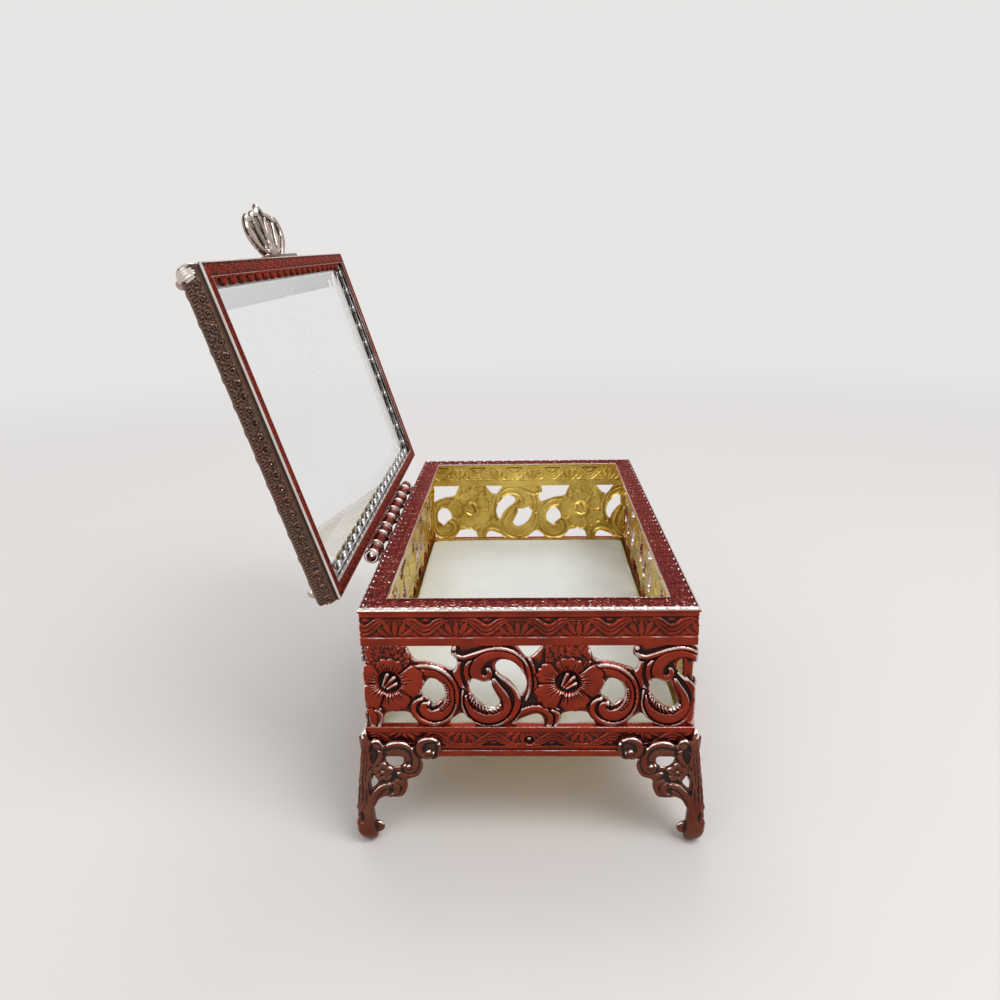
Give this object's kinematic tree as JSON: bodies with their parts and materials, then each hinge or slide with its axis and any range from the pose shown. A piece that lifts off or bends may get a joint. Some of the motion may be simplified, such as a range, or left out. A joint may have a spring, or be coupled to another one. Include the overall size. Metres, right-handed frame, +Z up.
{
  "type": "glass casket box",
  "caption": "Footed casket box with pierced scroll and flower walls, a hinged lid of bevelled glass in a carved frame, an openwork pull and a padded floor.",
  "frame": {"origin": "floor level at the centre of the feet's footprint", "axes": "+X along the long side, -Y to the front where the pull is, +Y to the hinge side, +Z up; the lid is stored open against its stop"},
  "size_m": [0.125, 0.1026, 0.1327],
  "materials": {
    "antique_gilt": "antique gilt with dark recesses and pale worn edges",
    "worn_gilt": "cast gilt, worn pale on its high places",
    "inner_gilt": "bright yellow gilt",
    "pale_metal": "pale bright metal",
    "clear_glass": "clear bevelled glass",
    "pad_cloth": "off-white short-pile cloth"
  },
  "bodies": {
    "box": {"rim_front": "antique_gilt", "rim_right": "antique_gilt", "rim_back": "antique_gilt", "rim_left": "antique_gilt", "panel_front": "antique_gilt", "panel_right": "antique_gilt", "panel_back": "antique_gilt", "panel_left": "antique_gilt", "lower_rail_front": "antique_gilt", "lower_rail_right": "antique_gilt", "lower_rail_back": "antique_gilt", "lower_rail_left": "antique_gilt", "foot_front_left": "worn_gilt", "foot_front_right": "worn_gilt", "foot_back_right": "worn_gilt", "foot_back_left": "worn_gilt", "base_pan": "inner_gilt", "base_rivets": "pale_metal", "pad": "pad_cloth", "hinge_leaf_box": "worn_gilt", "hinge_pin": "pale_metal"},
    "lid": {"hinge_leaf_lid": "worn_gilt", "lid_rail_front": "antique_gilt", "lid_rail_right": "antique_gilt", "lid_rail_back": "antique_gilt", "lid_rail_left": "antique_gilt", "scallops_front": "pale_metal", "scallops_right": "pale_metal", "scallops_back": "pale_metal", "scallops_left": "pale_metal", "glass_pane": "clear_glass", "lid_beads": "worn_gilt", "pull": "worn_gilt", "pull_rivets": "pale_metal"}
  },
  "joints": [
    {"name": "lid_hinge", "type": "hinge", "parent": "box", "child": "lid", "pos_m": [0, 0.0361, 0.0534], "axis": [1, 0, 0], "range_deg": [0, 107.4]}
  ]
}
